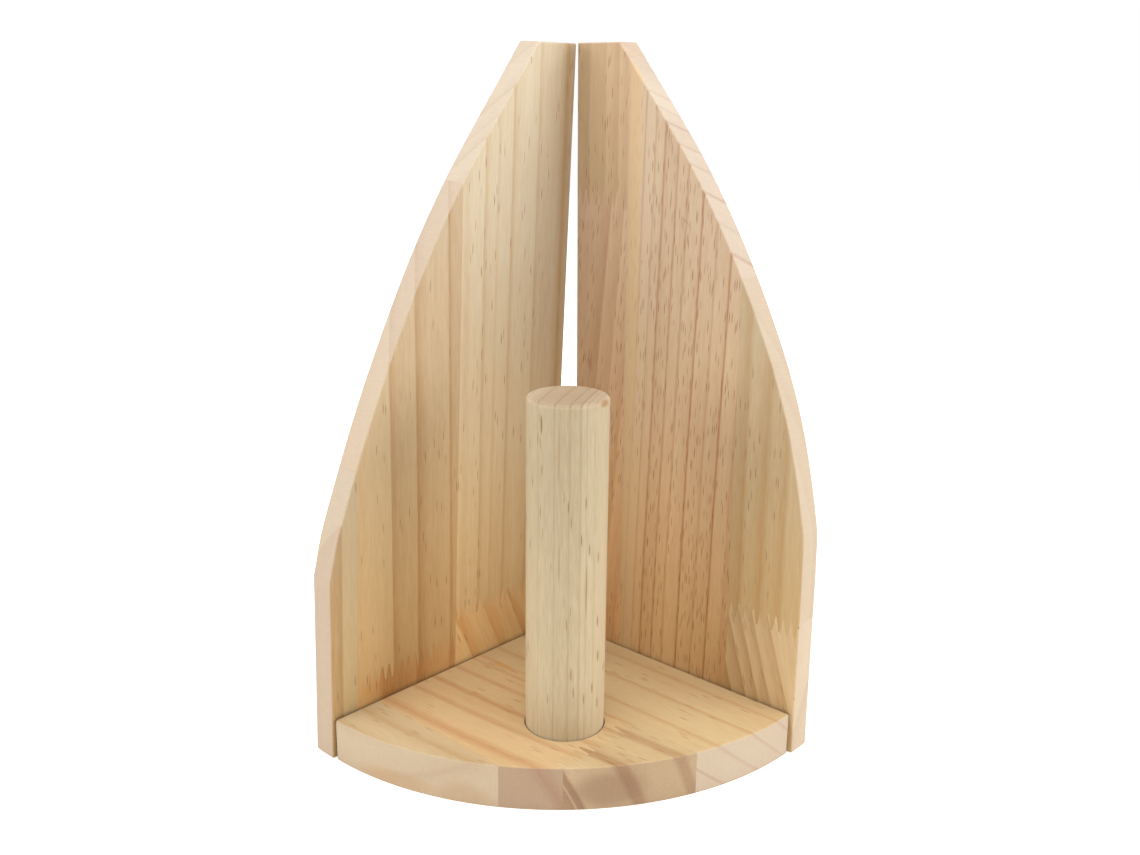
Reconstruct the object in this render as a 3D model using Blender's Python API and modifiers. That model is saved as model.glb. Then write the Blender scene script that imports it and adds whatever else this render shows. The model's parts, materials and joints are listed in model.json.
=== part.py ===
"""Corner paper towel holder in glued-up pine: quarter-round base, two tall side panels, one peg.

Run it with:  blender --background --python part.py
Metres, +Z up. The origin is the middle of the assembly's footprint, on the surface it stands on.
The holder opens towards -Y, and the two panels meet at the back, at +Y.

Base and panels are edge-glued boards. Each stave is its own solid, and a stave made of two
lengths has a finger joint between them. Distances along a panel or along the base are counted
from the base's square back corner, and heights from the floor.
"""
import math

import bmesh
import bpy
from mathutils import Vector

MM = 0.001
GAP = 0.3 * MM                    # room left between two solids that touch
HALF_GAP = GAP / 2
FAR = 400 * MM                    # reaches past any board
QUARTER_TURN = math.radians(90)

# base: a quarter disc with its square corner at the back, staves along its right-hand side
BASE_RADIUS = 144 * MM
BASE_THICKNESS = 20 * MM
BASE_ARC_STEPS = 48
BASE_STAVES = (                   # name, from, to, start, end; a number is a finger joint
    ("base_right_stave", None, 55.0 * MM, None, None),
    ("base_middle_stave_rear", 55.0 * MM, 120.2 * MM, None, 97.4 * MM),
    ("base_middle_stave_front", 55.0 * MM, 120.2 * MM, 97.4 * MM, None),
    ("base_left_stave", 120.2 * MM, None, None, None),
)
BASE_FINGERS_END = 103.75 * MM    # where that finger joint meets the round front

# peg, in a blind socket of the base
PEG_RADIUS = 17.35 * MM
PEG_TOP = 169.4 * MM              # above the floor
PEG_FROM_CORNER = 105.2 * MM      # in front of the base's square corner
PEG_TOP_ROUND = 2.0 * MM
PEG_STEPS = 48
ROUND_STEPS = 4
SOCKET_FLOOR = 8 * MM             # wood left under the socket
SOCKET_CLEARANCE = 0.5 * MM
PILOT_DEPTH = 29 * MM             # screw hole up into the peg

# side panels
PANEL_THICKNESS = 12 * MM
PANEL_HEIGHT = 310 * MM
PANEL_LIFT = 0.2 * MM             # the panels clear the floor, the base stands on it
CURVE_STEPS = 9                   # points between two knots of the sawn edge
EDGE_BREAK = 0.6 * MM             # sanded edges
PANELS = {
    "left": {
        "turn": math.radians(-135),
        "outward": -1,            # which way along its own Y the outer face looks
        "lean": math.radians(2.6),
        "back": 3.7 * MM,
        "front": 145.1 * MM,
        # sawn front edge, from the bend to the top corner: distance from the corner, height
        "knots": ((145.1, 86), (139.2, 109.4), (113.2, 175.2), (79.2, 240), (28.4, 310)),
        "staves": (
            ("left_back_stave_lower", None, 72.0 * MM, None, 47.0 * MM),
            ("left_back_stave_upper", None, 72.0 * MM, 47.0 * MM, None),
            ("left_middle_stave_lower", 72.0 * MM, 130.5 * MM, None, 32.3 * MM),
            ("left_middle_stave_upper", 72.0 * MM, 130.5 * MM, 32.3 * MM, None),
            ("left_front_stave", 130.5 * MM, None, None, None),
        ),
    },
    "right": {
        "turn": math.radians(-45),
        "outward": 1,
        "lean": math.radians(0.75),
        "back": 13.0 * MM,
        "front": 145.8 * MM,
        "knots": ((145.8, 86), (144.6, 109), (131.9, 160), (110.0, 208.8), (80.4, 257), (38.1, 310)),
        "staves": (
            ("right_back_stave_lower", None, 43.5 * MM, None, 241.5 * MM),
            ("right_back_stave_upper", None, 43.5 * MM, 241.5 * MM, None),
            ("right_middle_stave", 43.5 * MM, 107.8 * MM, None, None),
            ("right_front_stave_lower", 107.8 * MM, None, None, 61.0 * MM),
            ("right_front_stave_upper", 107.8 * MM, None, 61.0 * MM, None),
        ),
    },
}

# finger joints
FINGER_LENGTH = 7.0 * MM
FINGER_PITCH = 3.9 * MM
FINGER_FLAT = 0.8 * MM            # blunt end of a finger

# countersunk wood screws with a cross recess
SCREW_RADIUS = 2.0 * MM
SCREW_HEAD_RADIUS = 4.0 * MM
SCREW_HEAD_HEIGHT = 2.4 * MM
SCREW_RIM = 0.4 * MM
SCREW_LENGTH = 35 * MM
SCREW_TIP = 5 * MM
SCREW_SINK = 0.4 * MM             # how far a head sits below the wood
SCREW_STEPS = 20
PANEL_SCREWS_AT = (("back", 30 * MM), ("front", 95 * MM))
RECESS_ARM = 1.9 * MM
RECESS_TIP = 0.7 * MM
RECESS_ROOT = 1.1 * MM
RECESS_DEPTH = 1.5 * MM

WOOD_COLOURS = {                  # linear RGB
    "base": (0.72, 0.50, 0.27),
    "left": (0.70, 0.50, 0.29),
    "right": (0.66, 0.44, 0.26),
    "peg": (0.72, 0.60, 0.42),
}
STEEL = (0.62, 0.55, 0.38)


def clear_scene():
    for obj in list(bpy.data.objects):
        bpy.data.objects.remove(obj)


def new_collection(name):
    made = bpy.data.collections.new(name)
    bpy.context.scene.collection.children.link(made)
    return made


def new_material(name, colour, roughness, metallic):
    made = bpy.data.materials.new(name)
    made.use_nodes = True
    shader = made.node_tree.nodes["Principled BSDF"]
    shader.inputs["Base Color"].default_value = (*colour, 1)
    shader.inputs["Roughness"].default_value = roughness
    shader.inputs["Metallic"].default_value = metallic
    made.diffuse_color = (*colour, 1)
    return made


def new_empty(name, parent, parts):
    made = bpy.data.objects.new(name, None)
    made.parent = parent
    parts.objects.link(made)
    return made


def as_cutter(obj):
    obj.hide_render = True
    obj.display_type = "WIRE"
    return obj


def flat_board(name, outline, thickness, home):
    """A closed outline in its own XY plane, with half the thickness to each side of it."""
    curve = bpy.data.curves.new(name, "CURVE")
    curve.dimensions = "2D"
    curve.fill_mode = "BOTH"
    curve.extrude = thickness / 2
    spline = curve.splines.new("POLY")
    spline.points.add(len(outline) - 1)
    spline.use_cyclic_u = True
    for point, (x, y) in zip(spline.points, outline):
        point.co = (x, y, 0, 1)
    drawn = bpy.data.objects.new(name + "_outline", curve)
    home.objects.link(drawn)
    bpy.context.view_layer.update()
    graph = bpy.context.evaluated_depsgraph_get()
    mesh = bpy.data.meshes.new_from_object(drawn.evaluated_get(graph))
    bpy.data.objects.remove(drawn)
    shape = bmesh.new()
    shape.from_mesh(mesh)
    bmesh.ops.remove_doubles(shape, verts=shape.verts, dist=0.001 * MM)
    flat = math.radians(0.1)
    bmesh.ops.dissolve_limit(shape, angle_limit=flat, verts=shape.verts, edges=shape.edges)
    bmesh.ops.recalc_face_normals(shape, faces=shape.faces)
    shape.to_mesh(mesh)
    shape.free()
    board = bpy.data.objects.new(name, mesh)
    home.objects.link(board)
    return board


def turned(name, profile, steps, home):
    """A profile of (radius, height) points, top to bottom down its outer side, turned about Z."""
    mesh = bpy.data.meshes.new(name)
    points = [(radius, 0, height) for radius, height in profile]
    links = [(index, index + 1) for index in range(len(points) - 1)]
    mesh.from_pydata(points, links, [])
    obj = bpy.data.objects.new(name, mesh)
    home.objects.link(obj)
    screw = obj.modifiers.new("turn", "SCREW")
    screw.steps = steps
    screw.render_steps = steps
    screw.use_merge_vertices = True
    screw.merge_threshold = 0.01 * MM
    screw.use_smooth_shade = True
    return obj


def boolean(obj, other, operation):
    modifier = obj.modifiers.new(operation.lower() + "_" + other.name, "BOOLEAN")
    modifier.operation = operation
    modifier.solver = "EXACT"
    modifier.object = other


def break_edges(board):
    bevel = board.modifiers.new("sanded_edges", "BEVEL")
    bevel.width = EDGE_BREAK
    bevel.segments = 2
    bevel.limit_method = "ANGLE"
    bevel.angle_limit = math.radians(60)


def finger_line(low, high, span, level, side):
    """The zigzag of a finger joint, straight on past the span that the fingers stand in.

    Side is 1 for the piece beyond the joint and -1 for the piece before it.
    """
    start = max(low, span[0])
    end = min(high, span[1])
    halves = round(2 * (end - start) / FINGER_PITCH)
    step = (end - start) / halves
    points = []
    for half in range(halves + 1):
        crest = 1 if half % 2 else -1
        middle = start + half * step
        reach = FINGER_FLAT / 2 + side * crest * HALF_GAP
        height = level + crest * FINGER_LENGTH / 2 + side * HALF_GAP
        points.append((middle - reach, height))
        points.append((middle + reach, height))
    first = (low, points[0][1])
    last = (high, points[-1][1])
    return [first, *points[1:-1], last]


def stave_blank(name, near, far, start, end, span, thickness, home):
    """A strip between two glue lines, cut square or fingered at its ends, wider than the board."""
    low = -FAR if near is None else near + HALF_GAP
    high = FAR if far is None else far - HALF_GAP
    if start is None:
        first = [(low, -FAR), (high, -FAR)]
    else:
        first = finger_line(low, high, span, start, 1)
    if end is None:
        last = [(high, FAR), (low, FAR)]
    else:
        last = finger_line(low, high, span, end, -1)[::-1]
    return flat_board(name, first + last, thickness, home)


def make_staves(staves, span, board, material, parts):
    """Cuts each stave's blank to the outline of the glued-up board that it belongs to."""
    made = {}
    for name, near, far, start, end in staves:
        blank = stave_blank(name, near, far, start, end, span, 2 * BASE_THICKNESS, parts)
        blank.parent = board.parent
        blank.location = board.location
        blank.rotation_euler = board.rotation_euler
        blank.data.materials.append(material)
        boolean(blank, board, "INTERSECT")
        made[name] = blank
    return made


def base_outline():
    """Square corner at the origin, straight sides along +X and +Y, each a gap short of its panel."""
    reach = math.sqrt(BASE_RADIUS**2 - GAP**2)
    margin = math.asin(GAP / BASE_RADIUS)
    outline = [(GAP, GAP), (reach, GAP)]
    for step in range(1, BASE_ARC_STEPS):
        angle = margin + (QUARTER_TURN - 2 * margin) * step / BASE_ARC_STEPS
        outline.append((BASE_RADIUS * math.cos(angle), BASE_RADIUS * math.sin(angle)))
    outline.append((GAP, reach))
    return outline


def sawn_edge(knots):
    """A smooth line through the knots: the slope at each is that of the line past its neighbours."""
    points = [Vector((x * MM, height * MM)) for x, height in knots]
    last = len(points) - 1
    slopes = []
    for index in range(last + 1):
        before = points[max(index - 1, 0)]
        after = points[min(index + 1, last)]
        slopes.append((after.x - before.x) / (after.y - before.y))
    edge = []
    for index in range(last):
        low = points[index]
        high = points[index + 1]
        rise = high.y - low.y
        for step in range(CURVE_STEPS):
            t = step / CURVE_STEPS
            x = (2 * t**3 - 3 * t**2 + 1) * low.x + (3 * t**2 - 2 * t**3) * high.x
            x += rise * ((t**3 - 2 * t**2 + t) * slopes[index] + (t**3 - t**2) * slopes[index + 1])
            edge.append((x, low.y + t * rise))
    edge.append((points[last].x, points[last].y))
    return edge


def panel_outline(panel):
    """Upright in its own XY plane: X along the base, Y up the panel from the floor."""
    bottom = PANEL_LIFT
    outline = [(panel["back"], bottom), (panel["front"], bottom)]
    outline += sawn_edge(panel["knots"])
    outline.append((panel["back"], PANEL_HEIGHT))
    return outline


def make_base(root, parts, cutters):
    corner = new_empty("base_corner", root, parts)
    corner.rotation_euler = (0, 0, PANELS["left"]["turn"])
    board = as_cutter(flat_board("base_board", base_outline(), BASE_THICKNESS, cutters))
    board.parent = corner
    board.location = (0, 0, BASE_THICKNESS / 2)
    break_edges(board)
    wood = new_material("base_pine", WOOD_COLOURS["base"], 0.5, 0)
    return make_staves(BASE_STAVES, (0, BASE_FINGERS_END), board, wood, parts)


def make_panel(side, root, parts, cutters):
    panel = PANELS[side]
    hinge_line = new_empty(side + "_panel_foot", root, parts)
    hinge_line.location = (0, 0, BASE_THICKNESS)
    hinge_line.rotation_euler = (panel["outward"] * panel["lean"], 0, panel["turn"])
    board = flat_board(side + "_panel_board", panel_outline(panel), PANEL_THICKNESS, cutters)
    as_cutter(board)
    board.parent = hinge_line
    middle = panel["outward"] * (GAP + PANEL_THICKNESS / 2)
    board.location = (0, middle, -BASE_THICKNESS)
    board.rotation_euler = (QUARTER_TURN, 0, 0)
    break_edges(board)
    wood = new_material(side + "_panel_pine", WOOD_COLOURS[side], 0.5, 0)
    span = (panel["back"], panel["front"])
    return hinge_line, make_staves(panel["staves"], span, board, wood, parts)


def make_peg(root, parts):
    bottom = SOCKET_FLOOR + GAP
    corner = PEG_RADIUS - PEG_TOP_ROUND
    profile = [(0, PEG_TOP)]
    for step in range(ROUND_STEPS + 1):
        angle = QUARTER_TURN * (1 - step / ROUND_STEPS)
        across = corner + PEG_TOP_ROUND * math.cos(angle)
        up = PEG_TOP - PEG_TOP_ROUND + PEG_TOP_ROUND * math.sin(angle)
        profile.append((across, up))
    pilot = SCREW_RADIUS + GAP
    profile.append((PEG_RADIUS, bottom + EDGE_BREAK))
    profile.append((PEG_RADIUS - EDGE_BREAK, bottom))
    profile.append((pilot, bottom))
    profile.append((pilot, bottom + PILOT_DEPTH - pilot))
    profile.append((0, bottom + PILOT_DEPTH))
    peg = turned("peg", profile, PEG_STEPS, parts)
    peg.parent = root
    peg.location = (0, -PEG_FROM_CORNER, 0)
    peg.data.materials.append(new_material("peg_pine", WOOD_COLOURS["peg"], 0.5, 0))
    return peg


def cut_socket(staves, root, cutters):
    radius = PEG_RADIUS + SOCKET_CLEARANCE
    above = BASE_THICKNESS + 5 * MM
    profile = [(0, above), (radius, above), (radius, SOCKET_FLOOR), (0, SOCKET_FLOOR)]
    socket = as_cutter(turned("peg_socket", profile, PEG_STEPS, cutters))
    socket.parent = root
    socket.location = (0, -PEG_FROM_CORNER, 0)
    boolean(staves["base_middle_stave_rear"], socket, "DIFFERENCE")


def screw_profile(spare, above):
    """Head up, tip down, top of the head at zero. Spare widens it into the hole it needs."""
    shank = SCREW_RADIUS + spare
    head = SCREW_HEAD_RADIUS + spare
    cone_end = -SCREW_HEAD_HEIGHT - spare
    return [
        (0, above),
        (head, above),
        (head, -SCREW_RIM),
        (shank, cone_end),
        (shank, SCREW_TIP - SCREW_LENGTH),
        (0, -SCREW_LENGTH - spare),
    ]


def recess_outline():
    """A plus sign: four arms that narrow outwards, with a corner between each two."""
    outline = []
    tip = RECESS_TIP / 2
    root = RECESS_ROOT / 2
    for quarter in range(4):
        along = Vector((math.cos(quarter * QUARTER_TURN), math.sin(quarter * QUARTER_TURN)))
        across = Vector((-along.y, along.x))
        outline.append(tuple(along * RECESS_ARM - across * tip))
        outline.append(tuple(along * RECESS_ARM + across * tip))
        outline.append(tuple(along * root + across * root))
    return outline


def make_screw(name, parent, location, rotation, steel, parts, cutters):
    """A screw with its cross recess, and the cutter for the hole it sits in."""
    screw = turned(name, screw_profile(0, 0), SCREW_STEPS, parts)
    recess = flat_board(name + "_recess", recess_outline(), 2 * RECESS_DEPTH, cutters)
    hole = turned(name + "_hole", screw_profile(GAP, 3 * MM), SCREW_STEPS, cutters)
    for obj in (screw, recess, hole):
        obj.parent = parent
        obj.location = location
        obj.rotation_euler = rotation
    boolean(screw, as_cutter(recess), "DIFFERENCE")
    screw.data.materials.append(steel)
    return as_cutter(hole)


def make_panel_screws(side, foot, panel_staves, base_staves, steel, parts, cutters):
    """Two screws through each panel, square to it, into the edge of the base."""
    outward = PANELS[side]["outward"]
    head_at = outward * (GAP + PANEL_THICKNESS - SCREW_SINK)
    held_by = {
        ("left", "back"): ("left_back_stave_lower", "base_right_stave"),
        ("left", "front"): ("left_middle_stave_lower", "base_middle_stave_rear"),
        ("right", "back"): ("right_back_stave_lower", "base_right_stave"),
        ("right", "front"): ("right_middle_stave", "base_right_stave"),
    }
    for place, along in PANEL_SCREWS_AT:
        name = f"{side}_screw_{place}"
        location = (along, head_at, -BASE_THICKNESS / 2)
        rotation = (-outward * QUARTER_TURN, 0, 0)
        hole = make_screw(name, foot, location, rotation, steel, parts, cutters)
        in_panel, in_base = held_by[side, place]
        boolean(panel_staves[in_panel], hole, "DIFFERENCE")
        boolean(base_staves[in_base], hole, "DIFFERENCE")


def make_peg_screw(root, base_staves, steel, parts, cutters):
    location = (0, -PEG_FROM_CORNER, SCREW_SINK)
    rotation = (2 * QUARTER_TURN, 0, 0)
    hole = make_screw("peg_screw", root, location, rotation, steel, parts, cutters)
    boolean(base_staves["base_middle_stave_rear"], hole, "DIFFERENCE")


def stand_on_origin(root, parts):
    """Moves the whole assembly so that its box stands centred on the origin."""
    bpy.context.view_layer.update()
    graph = bpy.context.evaluated_depsgraph_get()
    corners = []
    for obj in parts.objects:
        if obj.type == "MESH":
            solid = obj.evaluated_get(graph)
            corners += [solid.matrix_world @ vertex.co for vertex in solid.data.vertices]
    for axis in range(2):
        values = [corner[axis] for corner in corners]
        root.location[axis] = -(min(values) + max(values)) / 2


def shade(parts):
    for obj in parts.objects:
        if obj.type == "MESH":
            obj.data.shade_smooth()
            obj.data.set_sharp_from_angle(angle=math.radians(35))


def main():
    clear_scene()
    parts = new_collection("paper_towel_holder")
    cutters = new_collection("cutters")
    root = new_empty("holder", None, parts)
    steel = new_material("zinc_plated_steel", STEEL, 0.35, 1)
    base_staves = make_base(root, parts, cutters)
    cut_socket(base_staves, root, cutters)
    make_peg(root, parts)
    make_peg_screw(root, base_staves, steel, parts, cutters)
    for side in PANELS:
        foot, staves = make_panel(side, root, parts, cutters)
        make_panel_screws(side, foot, staves, base_staves, steel, parts, cutters)
    shade(parts)
    stand_on_origin(root, parts)


main()
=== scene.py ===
import json
import math

import bmesh
import bpy
from mathutils import Euler, Matrix, Vector

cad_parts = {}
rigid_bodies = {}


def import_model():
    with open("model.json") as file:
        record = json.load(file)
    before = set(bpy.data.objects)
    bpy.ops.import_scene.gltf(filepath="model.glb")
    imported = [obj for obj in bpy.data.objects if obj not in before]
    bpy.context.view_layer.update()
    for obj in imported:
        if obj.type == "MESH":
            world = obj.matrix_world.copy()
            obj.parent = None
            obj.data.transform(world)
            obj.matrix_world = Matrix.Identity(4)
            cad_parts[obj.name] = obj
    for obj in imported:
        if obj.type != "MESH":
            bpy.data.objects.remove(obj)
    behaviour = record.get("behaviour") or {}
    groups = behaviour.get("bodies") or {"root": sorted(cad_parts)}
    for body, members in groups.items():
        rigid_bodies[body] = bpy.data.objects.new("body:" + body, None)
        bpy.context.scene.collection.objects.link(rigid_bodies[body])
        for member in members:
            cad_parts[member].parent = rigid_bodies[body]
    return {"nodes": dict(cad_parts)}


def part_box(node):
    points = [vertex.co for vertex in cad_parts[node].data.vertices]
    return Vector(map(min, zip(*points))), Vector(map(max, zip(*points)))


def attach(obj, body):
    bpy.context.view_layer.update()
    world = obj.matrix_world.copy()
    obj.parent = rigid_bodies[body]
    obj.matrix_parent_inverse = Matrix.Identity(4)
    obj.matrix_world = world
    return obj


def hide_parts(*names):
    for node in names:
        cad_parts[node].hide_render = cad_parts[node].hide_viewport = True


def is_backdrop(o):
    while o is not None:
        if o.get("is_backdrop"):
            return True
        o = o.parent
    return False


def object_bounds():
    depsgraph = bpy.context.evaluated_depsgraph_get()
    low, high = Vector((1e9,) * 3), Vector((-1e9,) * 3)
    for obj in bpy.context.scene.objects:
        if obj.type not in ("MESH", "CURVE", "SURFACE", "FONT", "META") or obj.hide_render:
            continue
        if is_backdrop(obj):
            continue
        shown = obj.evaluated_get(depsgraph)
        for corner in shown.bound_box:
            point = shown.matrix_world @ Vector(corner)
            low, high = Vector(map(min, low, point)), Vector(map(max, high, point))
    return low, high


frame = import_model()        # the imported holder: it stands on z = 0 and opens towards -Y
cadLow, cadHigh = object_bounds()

mm = 0.001
quarterTurn = math.pi / 2
far = 400 * mm           # past any board
weld = 0.001 * mm
screwSteps = 32

workshop = bpy.data.collections.new("workshop")   # boards and cutters, used and then cleared away
bpy.context.scene.collection.children.link(workshop)


def addNode(tree, kind, inputs=None, **settings):
    node = tree.nodes.new(kind)
    for setting, value in settings.items():
        setattr(node, setting, value)
    for socket, value in (inputs or {}).items():
        for one in value if isinstance(value, list) else [value]:
            if isinstance(one, bpy.types.NodeSocket):
                tree.links.new(one, node.inputs[socket])
            else:
                node.inputs[socket].default_value = one
    return node


def linear(colour):
    # "#RRGGBB" in sRGB to the linear RGBA that nodes take
    channels = [int(colour[start:start + 2], 16) / 255 for start in (1, 3, 5)]
    light = [c / 12.92 if c <= 0.04045 else ((c + 0.055) / 1.055) ** 2.4 for c in channels]
    return (*light, 1)


def frozen(obj, name=None):
    # the object's evaluated mesh with its place in it, on a new object at the origin
    bpy.context.view_layer.update()
    evaluated = obj.evaluated_get(bpy.context.evaluated_depsgraph_get())
    mesh = bpy.data.meshes.new_from_object(evaluated)
    mesh.transform(obj.matrix_world)
    name = name or obj.name + "_done"
    bpy.data.objects.remove(obj)
    made = bpy.data.objects.new(name, mesh)
    workshop.objects.link(made)
    return made


def finished(piece, node, material, flatter=15):
    # shades the piece, gives it its finish, and hands it to the frame in place of its CAD node
    workshop.objects.unlink(piece)
    bpy.context.scene.collection.objects.link(piece)
    piece.data.materials.clear()
    piece.data.materials.append(material)
    piece.data.shade_smooth()
    piece.data.set_sharp_from_angle(angle=math.radians(flatter))
    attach(piece, "root")
    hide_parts(node)
    return piece


def placed(obj, foot, turn):
    obj.location = foot
    obj.rotation_euler = turn
    return obj


def booleaned(obj, other, operation):
    modifier = obj.modifiers.new(operation, "BOOLEAN")
    modifier.operation = operation
    modifier.object = other


def turned(name, profile, steps):
    # (radius, height) points, top to bottom down the outer side, turned about Z
    mesh = bpy.data.meshes.new(name)
    links = [(index, index + 1) for index in range(len(profile) - 1)]
    mesh.from_pydata([(radius, 0, height) for radius, height in profile], links, [])
    obj = bpy.data.objects.new(name, mesh)
    workshop.objects.link(obj)
    screw = obj.modifiers.new("turn", "SCREW")
    screw.steps = steps
    screw.render_steps = steps
    screw.use_merge_vertices = True
    screw.merge_threshold = 10 * weld
    return obj


def sawnBoard(name, outline, thickness, sanding, curveSteps):
    # outline: (point, handle before, handle after) in its own XY plane; half the thickness each side
    curve = bpy.data.curves.new(name, "CURVE")
    curve.dimensions = "2D"
    curve.fill_mode = "BOTH"
    curve.extrude = thickness / 2
    curve.resolution_u = curveSteps
    spline = curve.splines.new("BEZIER")
    spline.bezier_points.add(len(outline) - 1)
    spline.use_cyclic_u = True
    for point, (place, before, after) in zip(spline.bezier_points, outline):
        point.co = (*place, 0)
        point.handle_left_type = "FREE" if before else "VECTOR"
        point.handle_right_type = "FREE" if after else "VECTOR"
        if before:
            point.handle_left = (*before, 0)
        if after:
            point.handle_right = (*after, 0)
    drawn = bpy.data.objects.new(name, curve)
    workshop.objects.link(drawn)
    board = frozen(drawn, name)
    shape = bmesh.new()
    shape.from_mesh(board.data)
    bmesh.ops.remove_doubles(shape, verts=shape.verts, dist=weld)
    flat = math.radians(0.05)
    bmesh.ops.dissolve_limit(shape, angle_limit=flat, verts=shape.verts, edges=shape.edges)
    bmesh.ops.recalc_face_normals(shape, faces=shape.faces)
    shape.to_mesh(board.data)
    shape.free()
    bevel = board.modifiers.new("sanded edges", "BEVEL")
    bevel.width = sanding
    bevel.segments = 4
    bevel.limit_method = "ANGLE"
    bevel.angle_limit = math.radians(60)
    return board


def newTree(name, inputs):
    tree = bpy.data.node_groups.new(name, "GeometryNodeTree")
    for socket, kind in inputs.items():
        tree.interface.new_socket(name=socket, in_out="INPUT", socket_type="NodeSocket" + kind)
    tree.interface.new_socket(name="Geometry", in_out="OUTPUT", socket_type="NodeSocketGeometry")
    return tree


def grown(name, tree, values):
    # a plain mesh from a geometry tree; inputs are set by identifier before it is evaluated
    holder = bpy.data.objects.new(name, bpy.data.meshes.new(name))
    workshop.objects.link(holder)
    modifier = holder.modifiers.new(tree.name, "NODES")
    modifier.node_group = tree
    for item in tree.interface.items_tree:
        if item.in_out == "INPUT":
            modifier[item.identifier] = values[item.name]
    return frozen(holder, name)


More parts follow.
